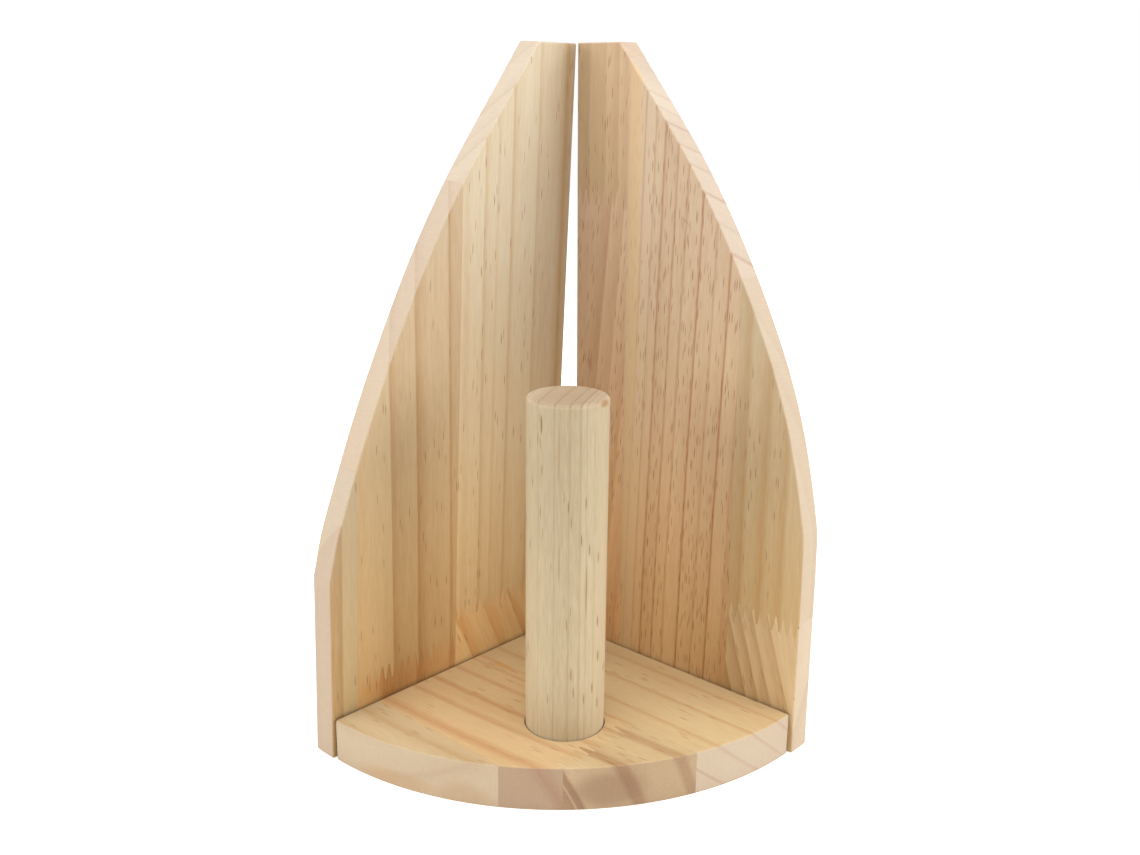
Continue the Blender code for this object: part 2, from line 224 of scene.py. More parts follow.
def buildStaveTree():
    # the joint cutter: a strip of wood between two glue lines, with fingers at either end
    tree = newTree("cut a stave", {
        "Board": "Object", "Wood": "Material", "Near": "Float", "Far": "Float",
        "Start": "Float", "End": "Float", "Start Fingers": "Float", "End Fingers": "Float",
        "First Finger": "Float", "Last Finger": "Float", "Halves": "Int", "Finger Length": "Float",
        "Finger Flat": "Float", "Glue Line": "Float", "Depth": "Float", "Place": "Vector",
        "Turn": "Vector",
    })
    given = addNode(tree, "NodeGroupInput").outputs
    math2 = "ShaderNodeMath"
    # two rows of points: the start edge and the end edge; two columns for each blunt finger tip
    tips = addNode(tree, math2, {0: given["Halves"], 1: 1}, operation="ADD").outputs[0]
    columns = addNode(tree, math2, {0: tips, 1: 2}, operation="MULTIPLY").outputs[0]
    grid = addNode(tree, "GeometryNodeMeshGrid", {"Vertices X": columns, "Vertices Y": 2})
    index = addNode(tree, "GeometryNodeInputIndex").outputs[0]
    halfIndex = addNode(tree, math2, {0: index, 1: 0.5}, operation="MULTIPLY").outputs[0]
    column = addNode(tree, math2, {0: halfIndex}, operation="FLOOR").outputs[0]
    row = addNode(tree, math2, {0: index, 1: 2}, operation="MODULO").outputs[0]
    halfColumn = addNode(tree, math2, {0: column, 1: 0.5}, operation="MULTIPLY").outputs[0]
    tip = addNode(tree, math2, {0: halfColumn}, operation="FLOOR").outputs[0]
    odd = addNode(tree, math2, {0: column, 1: 2}, operation="MODULO").outputs[0]
    pair = addNode(tree, math2, {0: odd, 1: 2, 2: -1}, operation="MULTIPLY_ADD").outputs[0]
    oddTip = addNode(tree, math2, {0: tip, 1: 2}, operation="MODULO").outputs[0]
    crest = addNode(tree, math2, {0: oddTip, 1: 2, 2: -1}, operation="MULTIPLY_ADD").outputs[0]
    side = addNode(tree, math2, {0: row, 1: -2, 2: 1}, operation="MULTIPLY_ADD").outputs[0]
    # across the board
    middle = addNode(tree, "ShaderNodeMapRange", {
        "Value": tip, "From Min": 0, "From Max": given["Halves"],
        "To Min": given["First Finger"], "To Max": given["Last Finger"]}).outputs[0]
    halfGlue = addNode(tree, math2, {0: given["Glue Line"], 1: 0.5}, operation="MULTIPLY").outputs[0]
    halfFlat = addNode(tree, math2, {0: given["Finger Flat"], 1: 0.5}, operation="MULTIPLY").outputs[0]
    inward = addNode(tree, math2, {0: side, 1: crest}, operation="MULTIPLY").outputs[0]
    reach = addNode(tree, math2, {0: inward, 1: halfGlue, 2: halfFlat}, operation="MULTIPLY_ADD").outputs[0]
    across = addNode(tree, math2, {0: pair, 1: reach, 2: middle}, operation="MULTIPLY_ADD").outputs[0]
    isFirst = addNode(tree, math2, {0: column, 1: 0, 2: 0.1}, operation="COMPARE").outputs[0]
    lastColumn = addNode(tree, math2, {0: columns, 1: 1}, operation="SUBTRACT").outputs[0]
    isLast = addNode(tree, math2, {0: column, 1: lastColumn, 2: 0.1}, operation="COMPARE").outputs[0]
    across = addNode(tree, "ShaderNodeMix", {0: isFirst, 2: across, 3: given["Near"]}).outputs[0]
    across = addNode(tree, "ShaderNodeMix", {0: isLast, 2: across, 3: given["Far"]}).outputs[0]
    # along the board
    level = addNode(tree, "ShaderNodeMix", {0: row, 2: given["Start"], 3: given["End"]}).outputs[0]
    fingers = addNode(tree, "ShaderNodeMix", {
        0: row, 2: given["Start Fingers"], 3: given["End Fingers"]}).outputs[0]
    halfLength = addNode(tree, math2, {0: given["Finger Length"], 1: 0.5}, operation="MULTIPLY").outputs[0]
    swing = addNode(tree, math2, {0: crest, 1: halfLength}, operation="MULTIPLY").outputs[0]
    level = addNode(tree, math2, {0: swing, 1: fingers, 2: level}, operation="MULTIPLY_ADD").outputs[0]
    along = addNode(tree, math2, {0: side, 1: halfGlue, 2: level}, operation="MULTIPLY_ADD").outputs[0]
    below = addNode(tree, math2, {0: given["Depth"], 1: -0.5}, operation="MULTIPLY").outputs[0]
    point = addNode(tree, "ShaderNodeCombineXYZ", {0: across, 1: along, 2: below}).outputs[0]
    sheet = addNode(tree, "GeometryNodeSetPosition", {"Geometry": grid.outputs["Mesh"], "Position": point})
    lid = addNode(tree, "GeometryNodeExtrudeMesh", {
        "Mesh": sheet.outputs[0], "Offset Scale": given["Depth"], "Individual": False}, mode="FACES")
    back = addNode(tree, "GeometryNodeFlipFaces", {"Mesh": sheet.outputs[0]})
    joined = addNode(tree, "GeometryNodeJoinGeometry", {0: [lid.outputs[0], back.outputs[0]]})
    solid = addNode(tree, "GeometryNodeMergeByDistance", {"Geometry": joined.outputs[0], "Distance": weld})
    blank = addNode(tree, "GeometryNodeTransform", {
        "Geometry": solid.outputs[0], "Translation": given["Place"], "Rotation": given["Turn"]})
    board = addNode(tree, "GeometryNodeObjectInfo", {"Object": given["Board"]},
                    transform_space="RELATIVE")
    stave = addNode(tree, "GeometryNodeMeshBoolean", {
        1: [blank.outputs[0], board.outputs["Geometry"]]}, operation="INTERSECT", solver="EXACT")
    stave = addNode(tree, "GeometryNodeMergeByDistance", {
        "Geometry": stave.outputs[0], "Distance": 10 * weld})
    whole = addNode(tree, "GeometryNodeRealizeInstances", {"Geometry": stave.outputs[0]})
    wood = addNode(tree, "GeometryNodeSetMaterial", {
        "Geometry": whole.outputs[0], "Material": given["Wood"]})
    addNode(tree, "NodeGroupOutput", {0: wood.outputs[0]})
    return tree


joinery = {
    "fingerLength": 7 * mm,
    "fingerPitch": 3.9 * mm,
    "fingerFlat": 0.8 * mm,    # blunt end of a finger
    "glueLine": 0.04 * mm,
    "cutDepth": 50 * mm,       # more than the thickest board
}


def cutStave(tree, node, stave, board, place, turn, span, wood):
    # one stave of a glued-up board; None means that it runs out to the board's own edge
    near, end = stave["across"]
    start, stop = stave["along"]
    halfGlue = joinery["glueLine"] / 2
    low = -far if near is None else near * mm + halfGlue
    high = far if end is None else end * mm - halfGlue
    fingered = start is not None or stop is not None
    first = max(low, span[0]) if fingered else low
    last = min(high, span[1]) if fingered else high
    piece = grown(node + "_board", tree, {
        "Board": board, "Wood": wood, "Near": low, "Far": high,
        "Start": -far if start is None else start * mm,
        "End": far if stop is None else stop * mm,
        "Start Fingers": 0.0 if start is None else 1.0,
        "End Fingers": 0.0 if stop is None else 1.0,
        "First Finger": first, "Last Finger": last,
        "Halves": round(2 * (last - first) / joinery["fingerPitch"]) if fingered else 1,
        "Finger Length": joinery["fingerLength"], "Finger Flat": joinery["fingerFlat"],
        "Glue Line": joinery["glueLine"], "Depth": joinery["cutDepth"], "Place": place, "Turn": turn,
    })
    return finished(piece, node, wood)


def pineMaterial(name, look):
    # Scots or radiata pine, planed and sanded, under a thin clear oil: pale early wood, an orange
    # late-wood line at the end of each year, short brown resin ducts, hardly any gloss
    material = bpy.data.materials.new(name)
    material.use_nodes = True
    tree = material.node_tree
    tree.nodes.clear()
    math2 = "ShaderNodeMath"
    vector = "ShaderNodeVectorMath"
    objectAt = addNode(tree, "ShaderNodeTexCoord")
    # millimetres in the board's own frame: X across the grain, Y into the board, Z along the grain
    board = addNode(tree, "ShaderNodeMapping", {
        "Vector": objectAt.outputs["Object"], "Location": look["place"], "Rotation": look["turn"],
        "Scale": (mm, mm, mm)}, vector_type="TEXTURE").outputs[0]
    parts = addNode(tree, "ShaderNodeSeparateXYZ", {0: board}).outputs
    # the year rings: where on them a point lies, counted in millimetres across the board's face
    slow = addNode(tree, vector, {0: board, 1: (1 / 45, 1 / 45, 1 / 190)}, operation="MULTIPLY").outputs[0]
    waver = addNode(tree, "ShaderNodeTexNoise", {
        "Vector": slow, "Scale": 1, "Detail": 2, "Roughness": 0.45}).outputs[0]
    waver = addNode(tree, math2, {0: waver, 1: 0.5}, operation="SUBTRACT").outputs[0]
    lean = addNode(tree, vector, {0: board, 1: (1, look["slant"], look["lean"])},
                   operation="DOT_PRODUCT").outputs["Value"]
    bow = addNode(tree, math2, {0: parts[2], 1: look["bowAt"]}, operation="SUBTRACT").outputs[0]
    bow = addNode(tree, math2, {0: bow, 1: bow}, operation="MULTIPLY").outputs[0]
    ring = addNode(tree, math2, {0: bow, 1: look["bow"], 2: lean}, operation="MULTIPLY_ADD").outputs[0]
    dip = addNode(tree, math2, {0: parts[1], 1: parts[1]}, operation="MULTIPLY").outputs[0]
    ring = addNode(tree, math2, {0: dip, 1: look["cup"], 2: ring}, operation="MULTIPLY_ADD").outputs[0]
    ring = addNode(tree, math2, {0: waver, 1: look["waver"], 2: ring}, operation="MULTIPLY_ADD").outputs[0]
    rings = look["rings"]
    share = addNode(tree, "ShaderNodeMapRange", {
        "Value": ring, "From Min": rings[0][0], "From Max": rings[-1][0]}).outputs[0]
    years = addNode(tree, "ShaderNodeValToRGB", {"Fac": share})
    years.color_ramp.interpolation = "LINEAR"
    stops = years.color_ramp.elements
    reach = rings[-1][0] - rings[0][0]
    while len(stops) < len(rings):
        stops.new(0.5)
    for stop, (place, dark) in zip(stops, rings):
        stop.position = (place - rings[0][0]) / reach
    for stop, (place, dark) in zip(stops, rings):
        stop.color = (dark, dark, dark, 1)
    # fibres and soft streaks follow the rings, because their place across is counted along them
    grain = addNode(tree, "ShaderNodeCombineXYZ", {0: ring, 1: parts[1], 2: parts[2]}).outputs[0]
    wide = addNode(tree, vector, {0: grain, 1: (1 / 5, 1 / 14, 1 / 160)}, operation="MULTIPLY").outputs[0]
    streak = addNode(tree, "ShaderNodeTexNoise", {
        "Vector": wide, "Scale": 1, "Detail": 4, "Roughness": 0.6}).outputs[0]
    fine = addNode(tree, vector, {0: grain, 1: (1 / 0.7, 1 / 0.7, 1 / 9)}, operation="MULTIPLY").outputs[0]
    fibre = addNode(tree, "ShaderNodeTexNoise", {
        "Vector": fine, "Scale": 1, "Detail": 3, "Roughness": 0.55}).outputs[0]
    cloudAt = addNode(tree, vector, {0: board, 1: (1 / 28, 1 / 28, 1 / 70)},
                      operation="MULTIPLY").outputs[0]
    cloud = addNode(tree, "ShaderNodeTexNoise", {
        "Vector": cloudAt, "Scale": 1, "Detail": 3, "Roughness": 0.5}).outputs[0]
    # resin ducts: short dashes, 0.4 mm wide and 3 to 5 mm long, in columns where the wood has them
    ductAt = addNode(tree, "ShaderNodeCombineXYZ", {0: ring, 1: parts[2]}).outputs[0]
    ductAt = addNode(tree, vector, {0: ductAt, 1: (1 / 1.35, 1 / 16, 0)}, operation="MULTIPLY").outputs[0]
    duct = addNode(tree, "ShaderNodeTexVoronoi", {"Vector": ductAt, "Scale": 1}, voronoi_dimensions="2D")
    dash = addNode(tree, "ShaderNodeMapRange", {
        "Value": duct.outputs["Distance"], "From Min": 0.09, "From Max": 0.22, "To Min": 1,
        "To Max": 0}, interpolation_type="SMOOTHSTEP").outputs[0]
    ductColour = addNode(tree, "ShaderNodeSeparateColor", {0: duct.outputs["Color"]}).outputs
    chance = ductColour[0]
    deep = addNode(tree, math2, {0: ductColour[1], 1: 0.5, 2: 0.5}, operation="MULTIPLY_ADD").outputs[0]
    dash = addNode(tree, math2, {0: dash, 1: deep}, operation="MULTIPLY").outputs[0]
    columnAt = addNode(tree, vector, {0: grain, 1: (1 / 7, 0.02, 1 / 120)}, operation="MULTIPLY").outputs[0]
    column = addNode(tree, "ShaderNodeTexNoise", {"Vector": columnAt, "Scale": 1, "Detail": 1}).outputs[0]
    column = addNode(tree, "ShaderNodeMapRange", {
        "Value": column, "From Min": 0.38, "From Max": 0.6, "To Min": 0,
        "To Max": look["ducts"]}).outputs[0]
    some = addNode(tree, math2, {0: chance, 1: column}, operation="LESS_THAN").outputs[0]
    dash = addNode(tree, math2, {0: dash, 1: some}, operation="MULTIPLY").outputs[0]
    # how far the surface looks along the grain: 0 on a face, 1 on a sawn end
    facing = addNode(tree, vector, {0: objectAt.outputs["Normal"], 1: look["grain"]},
                     operation="DOT_PRODUCT").outputs["Value"]
    facing = addNode(tree, math2, {0: facing}, operation="ABSOLUTE").outputs[0]
    endWood = addNode(tree, "ShaderNodeMapRange", {
        "Value": facing, "From Min": 0.12, "From Max": 0.6}, interpolation_type="SMOOTHSTEP").outputs[0]
    # and whether it is a sawn edge at all, which stays paler than the planed and oiled faces
    flatness = addNode(tree, vector, {0: objectAt.outputs["Normal"], 1: look["sawnAxis"]},
                       operation="DOT_PRODUCT").outputs["Value"]
    flatness = addNode(tree, math2, {0: flatness}, operation="ABSOLUTE").outputs[0]
    sawn = addNode(tree, "ShaderNodeMapRange", {
        "Value": flatness, "From Min": look["sawnFrom"], "From Max": look["sawnTo"]},
        interpolation_type="SMOOTHSTEP").outputs[0]
    # tone: rings, then streaks and clouds on top
    streakTone = addNode(tree, math2, {0: streak, 1: 0.5}, operation="SUBTRACT").outputs[0]
    fibreTone = addNode(tree, math2, {0: fibre, 1: 0.5}, operation="SUBTRACT").outputs[0]
    cloudTone = addNode(tree, math2, {0: cloud, 1: 0.5}, operation="SUBTRACT").outputs[0]
    middleTone = 0.35
    depth = addNode(tree, "ShaderNodeMix", {0: sawn, 2: look["depth"], 3: look["sawnDepth"]}).outputs[0]
    tone = addNode(tree, "ShaderNodeMix", {0: depth, 2: middleTone, 3: years.outputs[0]}).outputs[0]
    tone = addNode(tree, math2, {
        0: streakTone, 1: look["streaks"], 2: tone}, operation="MULTIPLY_ADD").outputs[0]
    tone = addNode(tree, math2, {
        0: cloudTone, 1: look["clouds"], 2: tone}, operation="MULTIPLY_ADD").outputs[0]
    tone = addNode(tree, math2, {
        0: fibreTone, 1: look["fibres"], 2: tone}, operation="MULTIPLY_ADD", use_clamp=True).outputs[0]
    wood = addNode(tree, "ShaderNodeMix", {
        0: tone, 6: linear(look["early"]), 7: linear(look["late"])}, data_type="RGBA").outputs[2]
    # warmer and darker towards the foot of a panel: partly the wood's own tone, partly painted light and
    # shade up the height, a cooler, dimmer top and warm light bounced from the base onto the foot
    foot = addNode(tree, "ShaderNodeMapRange", {
        "Value": parts[2], "From Min": look["footFrom"], "From Max": look["footTo"]},
        interpolation_type="SMOOTHSTEP").outputs[0]
    paintedHeightLight = addNode(tree, "ShaderNodeMix", {
        0: foot, 6: linear(look["crown"]), 7: linear(look["foot"])}, data_type="RGBA").outputs[2]
    wood = addNode(tree, "ShaderNodeMix", {
        0: 1, 6: wood, 7: paintedHeightLight}, data_type="RGBA", blend_type="MULTIPLY").outputs[2]
    # sawn edges: paler and greyer, with saw marks across
    markAt = addNode(tree, vector, {0: board, 1: (1 / 3, 1 / 5, 1 / 0.5)}, operation="MULTIPLY").outputs[0]
    marks = addNode(tree, "ShaderNodeTexNoise", {"Vector": markAt, "Scale": 1, "Detail": 3}).outputs[0]
    marks = addNode(tree, "ShaderNodeMapRange", {
        "Value": marks, "From Min": 0.3, "From Max": 0.7, "To Min": 0.95, "To Max": 1.05}).outputs[0]
    rawWood = addNode(tree, vector, {0: linear(look["ends"])[:3], 3: marks}, operation="SCALE").outputs[0]
    pale = addNode(tree, math2, {0: sawn, 1: look["pale"]}, operation="MULTIPLY").outputs[0]
    wood = addNode(tree, "ShaderNodeMix", {0: pale, 6: wood, 7: rawWood}, data_type="RGBA").outputs[2]
    either = addNode(tree, math2, {0: endWood, 1: sawn}, operation="MAXIMUM").outputs[0]
    dashOnFace = addNode(tree, math2, {0: either, 1: -0.7, 2: 0.75}, operation="MULTIPLY_ADD").outputs[0]
    dash = addNode(tree, math2, {0: dash, 1: dashOnFace}, operation="MULTIPLY").outputs[0]
    wood = addNode(tree, "ShaderNodeMix", {
        0: dash, 6: wood, 7: linear(look["duct"])}, data_type="RGBA").outputs[2]
    # single flaws, and the painted shade patches that ride with them: each a soft ellipse on the surface
    for place, size, turn, strength, colour in look["flawsAndShade"]:
        there = addNode(tree, "ShaderNodeMapping", {
            "Vector": board, "Location": place, "Rotation": (0, math.radians(turn), 0),
            "Scale": size}, vector_type="TEXTURE").outputs[0]
        distance = addNode(tree, vector, {0: there}, operation="LENGTH").outputs["Value"]
        patch = addNode(tree, "ShaderNodeMapRange", {
            "Value": distance, "From Min": 0.4, "From Max": 1, "To Min": strength, "To Max": 0},
            interpolation_type="SMOOTHSTEP").outputs[0]
        wood = addNode(tree, "ShaderNodeMix", {
            0: patch, 6: wood, 7: linear(colour)}, data_type="RGBA").outputs[2]
    # relief: fibres stand 0.02 mm proud, ducts are open
    relief = addNode(tree, math2, {0: dash, 1: -0.6, 2: fibre}, operation="MULTIPLY_ADD").outputs[0]
    bump = addNode(tree, "ShaderNodeBump", {"Height": relief, "Strength": 0.25, "Distance": 0.06 * mm})
    sheen = addNode(tree, "ShaderNodeMapRange", {
        "Value": tone, "To Min": 0.62, "To Max": 0.5}).outputs[0]
    shader = addNode(tree, "ShaderNodeBsdfPrincipled", {
        "Base Color": wood, "Roughness": sheen, "IOR": 1.45, "Specular IOR Level": 0.3,
        "Normal": bump.outputs[0]})
    addNode(tree, "ShaderNodeOutputMaterial", {0: shader.outputs[0]})
    return material


# every pine look starts from this one
plainPine = {
    # how the year rings lie: turned into the board, leaning, bowed, cupped, and how far they waver
    "slant": 0, "lean": 0, "bow": 0, "bowAt": 0, "cup": 0, "waver": 2.5,
    # how strongly each pattern shows; sawnDepth is the rings' on a sawn edge
    "depth": 0.85, "sawnDepth": 0.95, "streaks": 0.2, "clouds": 0.2, "fibres": 0.5, "ducts": 0.2,
    "flawsAndShade": (),                              # (place, size, turn in degrees, strength, colour)
    "early": "#D6C2A0", "late": "#AF8352", "duct": "#7E5230",
    "ends": "#BCAC9D", "pale": 0.6,           # the colour of a sawn edge, and how much of it shows
    # crown and foot: painted light and shade tints, partly the wood's own tone
    "crown": "#ECF1FB", "foot": "#FFF3D7",    # tints at the top and at the foot
    "footFrom": 230, "footTo": -20, "sawnFrom": 0.85, "sawnTo": 0.4,
}


def pine(name, place, turn, look):
    upright = Euler(turn).to_matrix()
    axes = {"grain": upright @ Vector((0, 0, 1)), "sawnAxis": upright @ Vector((0, 1, 0))}
    return pineMaterial(name, {**plainPine, "place": place, "turn": turn, **axes, **look})


# the base is a quarter disc with its square corner at the back, its staves along its right-hand side
baseLow = Vector([min(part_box(node)[0][axis] for node in frame["nodes"] if node.startswith("base_"))
                  for axis in range(3)])
baseHigh = Vector([max(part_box(node)[1][axis] for node in frame["nodes"] if node.startswith("base_"))
                   for axis in range(3)])

base = {
    "radius": 144 * mm,
    "gap": 0.3 * mm,           # to the panels
    "sanding": 0.8 * mm,
    "arcSpans": 2,
    "curveSteps": 48,
    "fingersEnd": 103.75 * mm,
    "socketClearance": 0.5 * mm,
    "socketFloor": 8 * mm,
    "panelShade": (            # painted shade in the corners along the two panels: dark bands where the panels shade the base top
        ((70, 0, 0.2), (400, 4, 1.4), 0, 0.9, "#4E3220"),
        ((0.2, 0, 70), (1.0, 4, 400), 0, 0.8, "#4E3220")),
    "staves": {
        "base_right_stave": {
            "across": (None, 55.0), "along": (None, None), "slant": 1.06, "cup": 0.006,
            "early": "#C1AD85", "late": "#A06E3C",
            "ends": "#BBB6B7", "pale": 0.3, "sawnDepth": 1.5,
            "rings": ((-2, .3), (8.5, .35), (9.6, .62), (11.5, .3), (25, .22), (26, .62), (28.5, .25),
                      (43, .22), (44.2, .55), (47, .25), (62, .25), (64, .8), (65, .3), (80, .3)),
        },
        "base_middle_stave_rear": {
            "across": (55.0, 120.2), "along": (None, 97.4), "slant": 0.35, "bow": 0.0006,
            "flawsAndShade": (((56, 0, 17), (4, 3, 9), 0, 0.35, "#B8862E"),),
            "early": "#C6AF85", "late": "#A26C3A", "ends": "#8C776F", "pale": 0.5,
            "rings": ((54, .35), (57, .45), (58, .25), (60.5, .3), (62, .6), (63, .25), (70, .25),
                      (73, .6), (75, .25), (84, .25), (87, .72), (89, .3), (95.5, .25), (99, .6),
                      (101, .25), (112, .3), (116, .72), (119, .35), (130, .3)),
        },
        # its sawn front face, with the dark ends colour and the soft dark patch, darkens the middle of the
        # base's front: partly this stave's own darker wood, partly painted shade where the middle of the
        # front face takes less light from the side softboxes
        "base_middle_stave_front": {
            "across": (55.0, 120.2), "along": (97.4, None), "slant": 0.35, "bow": 0.0003,
            "flawsAndShade": (((89, 11, 113), (20, 11, 20), 0, 0.5, "#846249"),),
            "early": "#C2AC83", "late": "#8B633E", "ends": "#876B66", "pale": 0.25,
            "rings": ((50, .3), (56, .45), (57, .2), (64, .3), (66, .65), (69, .65), (71, .3), (80, .3),
                      (86, .4), (88, .8), (91, .8), (93, .3), (100, .25), (105, .1), (106.5, .15),
                      (107.5, .85), (109, .8), (109.6, .2), (110.2, .75), (113, .6), (114.5, .3),
                      (120, .3)),
        },
        "base_left_stave": {
            "across": (120.2, None), "along": (None, None), "slant": -0.7, "bow": 0.0008,
            "flawsAndShade": (((128, 20, 66), (12, 13, 18), 0, 0.3, "#A0744A"),
                      ((139, 17, 36), (30, 6, 26), 0, 0.3, "#B08050")),
            "early": "#BBA885", "late": "#987143", "ends": "#BFAD96", "pale": 0.5,
            "rings": ((105, .3), (110, .25), (113, .55), (115, .3), (121, .2), (127, .35), (130, .6),
                      (132, .3), (139, .2), (144, .55), (146, .25), (150, .2)),
        },
    },
}
baseTurn = (-quarterTurn, 0, math.radians(-135))   # X along its left side, Y down, Z along its right side
corner = Vector(((baseLow.x + baseHigh.x) / 2, baseLow.y + base["radius"], 0))
baseTop = baseHigh.z
pegLow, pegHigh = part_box("peg")
pegAxis = Vector(((pegLow.x + pegHigh.x) / 2, (pegLow.y + pegHigh.y) / 2, 0))
pegRadius = (pegHigh.x - pegLow.x) / 2
peg = {
    "topRound": 2.0 * mm, "roundSteps": 8, "footRound": 0.6 * mm, "steps": 96,
    "pilot": 2.3 * mm, "pilotDepth": 29 * mm,
}


def baseOutline():
    radius = base["radius"]
    margin = math.asin(base["gap"] / radius)
    reach = radius * math.cos(margin)
    span = (quarterTurn - 2 * margin) / base["arcSpans"]
    handle = radius * 4 / 3 * math.tan(span / 4)
    outline = [((base["gap"], base["gap"]), None, None)]
    for step in range(base["arcSpans"] + 1):
        angle = margin + step * span
        out = Vector((math.cos(angle), math.sin(angle)))
        onwards = Vector((-out.y, out.x)) * handle
        before = out * radius - onwards if step else None
        after = out * radius + onwards if step < base["arcSpans"] else None
        outline.append((tuple(out * radius), before, after))
    return outline


# the side panels stand on edge outside the base; every "across" and "along" below is in mm
panelThickness = 12 * mm
panelCurveSteps = 24
panelHeight = cadHigh.z      # the upright one's height; a leaning one is a little longer
panels = {
    "left": {
        "turn": math.radians(-135), "outward": -1, "lean": math.radians(2.6),
        "back": 3.7 * mm, "front": 145.1 * mm, "top": 310 * mm,
        "knots": ((145.1, 86), (139.2, 109.4), (113.2, 175.2), (79.2, 240), (28.4, 310)),
        "staves": {
            "left_back_stave_lower": {
                "across": (None, 72.0), "along": (None, 47.0), "lean": -0.48, "slant": 0.9,
                "ducts": 0.2,
                "early": "#EADBB3", "late": "#C68A4D",
                "rings": ((-20, .4), (5, .5), (18, .3), (24, .75), (25, .35), (34, .4), (41, .7),
                          (42, .35), (52, .45), (60, .8), (61, .35), (70, .45), (76, .7), (77, .4),
                          (100, .4)),
            },
            "left_back_stave_upper": {
                "across": (None, 72.0), "along": (47.0, None), "lean": 0, "slant": 0.9,
                "early": "#DECDAB", "late": "#B68B58", "ducts": 0.25,
                "rings": ((3, .5), (6, .65), (8.5, .95), (10.5, .6), (14, .35), (24, .3), (26, .55),
                          (27, .2), (34, .15), (40, .3), (41.8, .6), (42.6, .2), (49, .25), (50.6, .45),
                          (51.5, .2), (56, .3), (58, .6), (58.8, .2), (65, .2), (69, .42), (71, .25),
                          (84, .3)),
            },
            "left_middle_stave_lower": {
                "across": (72.0, 130.5), "along": (None, 32.3), "lean": -0.02, "slant": -0.9,
                "early": "#DCBC90", "late": "#A97540",
                "rings": ((60, .4), (76, .7), (77, .3), (88, .4), (96, .8), (97, .4), (108, .6),
                          (116, .8), (119, .4), (130, .35), (140, .3)),
            },
            "left_middle_stave_upper": {
                "across": (72.0, 130.5), "along": (32.3, None), "lean": -0.02, "slant": -0.9,
                "early": "#D2BC97", "late": "#AB7F4D", "ducts": 0.15,
                "rings": ((60, .3), (72, .4), (74, .45), (75.6, .85), (76.4, .25), (81, .28), (88, .32),
                          (93, .55), (95, .85), (95.7, .25), (101, .3), (106, .42), (109.6, .75),
                          (110.2, .12), (120, .2), (128, .32), (131, .3), (142, .3)),
            },
            "left_front_stave": {
                "across": (130.5, None), "along": (None, None), "lean": 0.0, "slant": 0.4,
                "early": "#C3B395", "late": "#9F784C", "ducts": 0.1,
                "rings": ((120, .3), (130.5, .12), (138.4, .15), (139.2, .7), (142, .55), (146, .5)),
            },
        },
    },
    "right": {
        "turn": math.radians(-45), "outward": 1, "lean": math.radians(0.75),
        "back": 13.0 * mm, "front": 145.8 * mm, "top": 310 * mm,
        "knots": ((145.8, 86), (144.6, 109), (131.9, 160), (110.0, 208.8), (80.4, 257), (38.1, 310)),
        "staves": {
            "right_back_stave_lower": {
                "across": (None, 43.5), "along": (None, 241.5), "lean": -0.1, "slant": -0.6,
                "early": "#E2C29B", "late": "#B1825D", "ducts": 1.8,
                "rings": ((-20, .3), (4, .35), (12, .7), (13, .3), (20, .6), (21, .25), (29, .65),
                          (30, .3), (38, .55), (39, .3), (50, .4)),
            },
            "right_back_stave_upper": {
                "across": (None, 43.5), "along": (241.5, None), "lean": 0.0, "slant": -0.6,
                "early": "#D7B98E", "late": "#B2855D", "ducts": 0.5,
                "rings": ((5, .3), (14, .3), (20, .55), (21, .25), (30, .5), (31, .2), (37.5, .6),
                          (38.3, .25), (42, .5), (50, .3)),
            },
            "right_middle_stave": {
                "across": (43.5, 107.8), "along": (None, None), "lean": -0.034, "slant": -0.35,
                "flawsAndShade": (((77, 0, 215), (0.35, 3, 4), -50, 0.6, "#8A6238"),
                          ((47.8, 0, 160), (5.2, 4, 1500), 0, 0.6, "#CAAB80")),
                "early": "#D0B592", "late": "#A2693A", "ducts": 1.8,
                "ends": "#C3BFB9", "pale": 0.35, "depth": 1,
                "rings": ((36, .3), (44, 0), (45, .4), (45.8, 0), (50, 0), (50.8, .4), (51.5, .1),
                          (55.2, .12), (56, .7), (57, .2), (62.5, .2), (63.5, .65), (64.3, .15),
                          (69, .2), (70, .55), (70.8, .15), (77.5, .2), (78.5, .8), (79.3, .15),
                          (86, .2), (87, .45), (88, .15), (94, .2), (95, .8), (95.8, .15), (102, .2),
                          (103, .4), (110, .3)),
            },
            "right_front_stave_lower": {
                "across": (107.8, None), "along": (None, 61.0), "lean": 0.3, "slant": -0.7,
                "early": "#D6C5AA", "late": "#9B6E3D", "ends": "#BFB09F", "depth": 1,
                "rings": ((90, .3), (104, .3), (111, .6), (112, .2), (119, .6), (120, .2), (126, .6),
                          (127, .2), (133, .55), (134, .2), (142, .55), (143, .2), (160, .3)),
            },
            "right_front_stave_upper": {
                "across": (107.8, None), "along": (61.0, None), "lean": 0.0, "slant": -1.2,
                "early": "#C7B392", "late": "#A5793B", "ends": "#BFB09F", "depth": 1, "ducts": 0.35,
                "rings": ((95, .3), (108, .3), (113, .5), (115, .2), (119, .25), (124, .55), (127, .25),
                          (131, .3), (135, .5), (137, .2), (150, .3)),
            },
        },
    },
}


def panelFrame(panel):
    foot = Vector((corner.x, corner.y, baseTop))
    return foot, (panel["outward"] * panel["lean"], 0, panel["turn"])


def panelOutline(panel):
    # upright in its own XY plane: X along the base, Y up the panel; the slope at each knot of the
    # sawn edge is that of the line past its neighbours
    knots = [Vector((x * mm, height * mm)) for x, height in panel["knots"]]
    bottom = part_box("left_front_stave")[0].z
    outline = [((panel["back"], bottom), None, None), ((panel["front"], bottom), None, None)]
    for index, knot in enumerate(knots):
        below = knots[max(index - 1, 0)]
        above = knots[min(index + 1, len(knots) - 1)]
        onwards = Vector(((above.x - below.x) / (above.y - below.y), 1)) / 3
        before = knot - onwards * (knot.y - below.y) if index else None
        after = knot + onwards * (above.y - knot.y) if above is not knot else None
        outline.append((tuple(knot), before, after))
    return outline + [((panel["back"], panel["top"]), None, None)]


